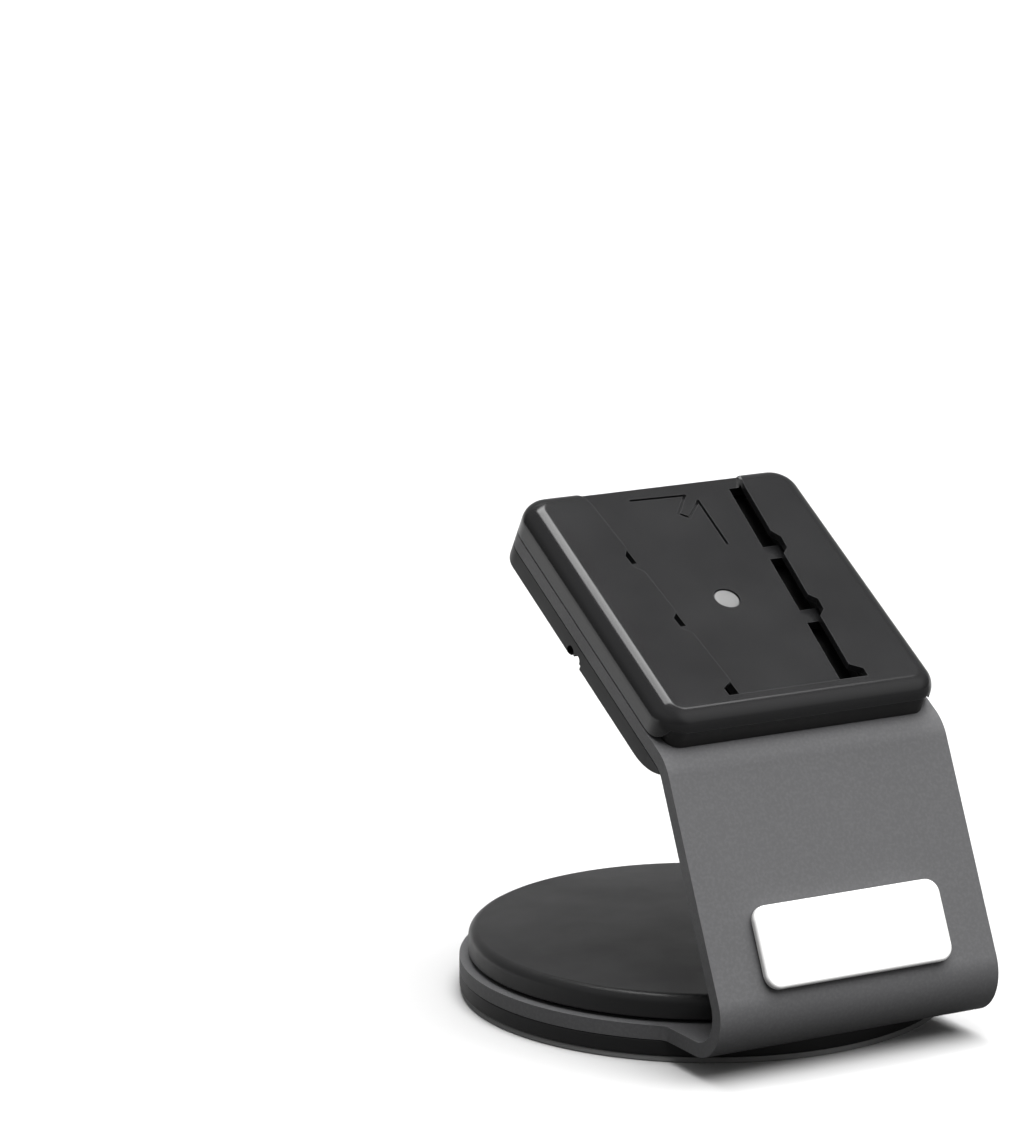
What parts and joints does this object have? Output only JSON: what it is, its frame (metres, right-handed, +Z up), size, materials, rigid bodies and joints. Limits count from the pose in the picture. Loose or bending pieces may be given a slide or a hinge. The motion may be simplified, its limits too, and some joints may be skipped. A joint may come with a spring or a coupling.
{
  "type": "countertop security display dock",
  "caption": "Countertop device display dock: round swivel base, bent grey sheet bracket with a blank badge, and a sloping black dock with a tapering slide channel and a locking pin.",
  "frame": {"origin": "centre of the round base, on the counter it stands on", "axes": "+X to the right seen from the front, +Y from the front of the bracket to the back, +Z up"},
  "size_m": [0.0992, 0.1084, 0.1006],
  "materials": {
    "pad": "smooth non-slip rubber",
    "base_black": "satin black powder coat",
    "ring": "natural low-friction plastic",
    "zinc": "zinc plated",
    "steel": "plain steel",
    "bracket_paint": "fine textured grey powder coat",
    "brass": "plain brass",
    "cap_black": "satin black, faintly textured",
    "foam": "white adhesive foam",
    "badge_white": "satin white, blank",
    "chassis_black": "matt black",
    "dock_black": "semi gloss black",
    "belly_black": "satin black",
    "pin_metal": "satin nickel"
  },
  "bodies": {
    "base": {"anti_slip_pad": "pad", "base_disc": "base_black", "slip_ring": "ring", "pivot_bolt": "zinc", "thrust_washer": "ring", "wave_washer": "steel", "pivot_nut": "zinc"},
    "stand": {"bracket": "bracket_paint", "pivot_bush": "brass", "ballast_plate": "steel", "ballast_screws": "zinc", "cap_pads": "foam", "base_cap": "cap_black", "badge_tape": "foam", "badge_plate": "badge_white", "dock_chassis": "chassis_black", "chassis_screws": "zinc", "dock_shell": "dock_black", "shell_inserts": "brass", "belly_cover": "belly_black", "dock_screws": "zinc", "slot_plate": "steel", "pin_bush": "brass", "lock_barrel": "zinc", "lock_nut": "zinc"},
    "lock_cylinder": {"lock_plug": "steel"},
    "locking_pin": {"lock_pin": "pin_metal"}
  },
  "joints": [
    {"name": "swivel", "type": "hinge", "parent": "base", "child": "stand", "pos_m": [0, 0, 0.006], "axis": [0, 0, 1], "continuous": true},
    {"name": "key_turn", "type": "hinge", "parent": "stand", "child": "lock_cylinder", "pos_m": [0, -0.00539, 0.07883], "axis": [0, -0.5, 0.866], "range_deg": [0, 90]},
    {"name": "pin_lift", "type": "slide", "parent": "stand", "child": "locking_pin", "axis": [0, -0.5, 0.866], "range_m": [0, 0.0022]}
  ],
  "couplings": [
    {"joint": "key_turn", "follows": "pin_lift", "rad_per_m": 713.9}
  ]
}
